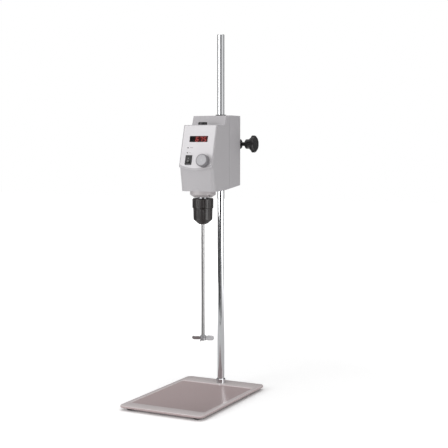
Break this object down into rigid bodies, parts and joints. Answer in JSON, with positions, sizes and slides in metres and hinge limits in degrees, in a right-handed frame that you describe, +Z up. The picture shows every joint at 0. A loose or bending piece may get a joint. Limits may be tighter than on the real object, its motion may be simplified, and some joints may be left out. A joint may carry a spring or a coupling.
{
  "type": "overhead stirrer",
  "caption": "Laboratory overhead stirrer: drive head with display, rocker and speed knob clamped on a rod over a flat base, with a keyless chuck and a bladed stirring shaft.",
  "frame": {"origin": "on the bench, under the middle of the whole stirrer at rest: half way across the base plate in X and half way between the plate front edge and the clamp knob in Y", "axes": "+Z up along the stand rod, the operator stands on the -Y side facing +Y, and +X is the side of the clamp knob"},
  "size_m": [0.2, 0.3338, 0.811],
  "materials": {
    "plate_lacquer": "glossy warm grey lacquer on steel",
    "foot_rubber": "matt",
    "zinc_steel": "zinc-plated",
    "rod_steel": "polished",
    "housing_grey": "fine moulded texture",
    "overlay_film": "matt printed film",
    "display_window": "dark red window",
    "lamp_lens": "clear-tinted lens",
    "circuit_board": "green solder mask",
    "black_plastic": "satin black",
    "knob_plastic": "dark grey grip",
    "knob_cap": "spun face",
    "housing_metal": "satin cast",
    "chuck_shell": "dark moulded sleeve",
    "chuck_metal": "machined",
    "bearing_steel": "ground",
    "turned_steel": "turned",
    "pulley_metal": "machined",
    "belt_rubber": "matt",
    "deck_plate": "milled",
    "motor_shell": "satin",
    "magnet_ferrite": "sintered",
    "rotor_iron": "laminated",
    "clamp_cast": "cast",
    "liner_plastic": "natural acetal",
    "seal_felt": "matt",
    "blade_steel": "stainless"
  },
  "bodies": {
    "stand": {"base_plate": "plate_lacquer", "base_feet": "foot_rubber", "foot_screws": "zinc_steel", "stand_rod": "rod_steel", "rod_foot_collar": "rod_steel", "rod_washer": "zinc_steel", "rod_screw": "zinc_steel"},
    "clamp_sleeve": {"clamp_liner": "liner_plastic"},
    "drive_head": {"front_housing": "housing_grey", "rear_housing": "housing_grey", "rod_bushes": "black_plastic", "case_screws": "zinc_steel", "panel_overlay": "overlay_film", "display_lens": "display_window", "display_module": "black_plastic", "indicator_lamps": "lamp_lens", "control_board": "circuit_board", "board_screws": "zinc_steel", "power_switch": "black_plastic", "speed_potentiometer": "zinc_steel", "potentiometer_nut": "zinc_steel", "bearing_housing": "housing_metal", "housing_mount_screws": "zinc_steel", "deck_spacers": "turned_steel", "spindle_seal": "seal_felt", "bearing_outer_rings": "bearing_steel", "timing_belt": "belt_rubber", "motor_deck": "deck_plate", "motor_case": "motor_shell", "motor_end_cap": "black_plastic", "motor_magnets": "magnet_ferrite", "motor_screws": "zinc_steel", "clamp_block": "clamp_cast", "clamp_block_screws": "zinc_steel", "clamp_nut": "zinc_steel", "mains_inlet": "black_plastic", "power_board": "circuit_board"},
    "washer": {"clamp_washer": "turned_steel"},
    "clamp_screw": {"clamp_stud": "turned_steel", "clamp_star_knob": "black_plastic"},
    "spindle": {"hollow_spindle": "turned_steel", "driven_pulley": "pulley_metal", "retaining_ring": "zinc_steel", "bearing_inner_rings": "bearing_steel", "chuck_body": "chuck_metal", "chuck_rear_sleeve": "chuck_shell"},
    "rotor": {"motor_rotor": "rotor_iron", "driver_pulley": "pulley_metal"},
    "chuck_ring": {"chuck_front_sleeve": "chuck_shell", "chuck_nut": "chuck_metal"},
    "jaw_1": {"chuck_jaw_1": "chuck_metal"},
    "jaw_2": {"chuck_jaw_2": "chuck_metal"},
    "jaw_3": {"chuck_jaw_3": "chuck_metal"},
    "stirrer": {"stirring_shaft": "turned_steel", "propeller": "blade_steel"},
    "speed_control": {"potentiometer_shaft": "zinc_steel", "speed_knob": "knob_plastic", "speed_knob_face": "knob_cap"},
    "rocker": {"power_rocker": "black_plastic"},
    "cap": {"through_hole_cap": "black_plastic"}
  },
  "joints": [
    {"name": "head_height", "type": "slide", "parent": "stand", "child": "clamp_sleeve", "axis": [0, 0, 1], "range_m": [-0.08, 0.17]},
    {"name": "head_swivel", "type": "hinge", "parent": "clamp_sleeve", "child": "drive_head", "pos_m": [0, 0.11609, 0.5636], "axis": [0, 0, 1], "range_deg": [-180, 180]},
    {"name": "washer_slide", "type": "slide", "parent": "drive_head", "child": "washer", "axis": [1, 0, 0], "range_m": [0, 0.0025]},
    {"name": "clamp_knob_turn", "type": "hinge", "parent": "washer", "child": "clamp_screw", "pos_m": [0.0488, 0.14809, 0.5636], "axis": [1, 0, 0], "range_deg": [0, 720]},
    {"name": "spindle_spin", "type": "hinge", "parent": "drive_head", "child": "spindle", "pos_m": [0, 0.02849, 0.4435], "axis": [0, 0, 1], "continuous": true},
    {"name": "rotor_spin", "type": "hinge", "parent": "drive_head", "child": "rotor", "pos_m": [0, 0.07409, 0.5127], "axis": [0, 0, 1], "continuous": true},
    {"name": "chuck_turn", "type": "hinge", "parent": "spindle", "child": "chuck_ring", "pos_m": [0, 0.02849, 0.3855], "axis": [0, 0, -1], "range_deg": [0, 840]},
    {"name": "jaw_1_slide", "type": "slide", "parent": "spindle", "child": "jaw_1", "axis": [0, 0.309, 0.9511], "range_m": [0, 0.00394]},
    {"name": "jaw_2_slide", "type": "slide", "parent": "spindle", "child": "jaw_2", "axis": [-0.2676, -0.1545, 0.9511], "range_m": [0, 0.00394]},
    {"name": "jaw_3_slide", "type": "slide", "parent": "spindle", "child": "jaw_3", "axis": [0.2676, -0.1545, 0.9511], "range_m": [0, 0.00394]},
    {"name": "shaft_height", "type": "slide", "parent": "spindle", "child": "stirrer", "axis": [0, 0, 1], "range_m": [-0.03, 0.12]},
    {"name": "speed_knob_turn", "type": "hinge", "parent": "drive_head", "child": "speed_control", "pos_m": [0.02, -0.00379, 0.52521], "axis": [0, -0.9659, 0.2588], "range_deg": [-135, 135]},
    {"name": "power_rocker_tilt", "type": "hinge", "parent": "drive_head", "child": "rocker", "pos_m": [-0.0188, -0.00263, 0.52801], "axis": [1, 0, 0], "range_deg": [0, 20]},
    {"name": "cap_pull", "type": "slide", "parent": "drive_head", "child": "cap", "axis": [0, 0, 1], "range_m": [0, 0.03]}
  ],
  "couplings": [
    {"joint": "clamp_knob_turn", "follows": "washer_slide", "rad_per_m": 5026.5},
    {"joint": "rotor_spin", "follows": "spindle_spin", "ratio": 2},
    {"joint": "jaw_1_slide", "follows": "chuck_turn", "m_per_rad": 0.00026775},
    {"joint": "jaw_2_slide", "follows": "chuck_turn", "m_per_rad": 0.00026775},
    {"joint": "jaw_3_slide", "follows": "chuck_turn", "m_per_rad": 0.00026775}
  ]
}
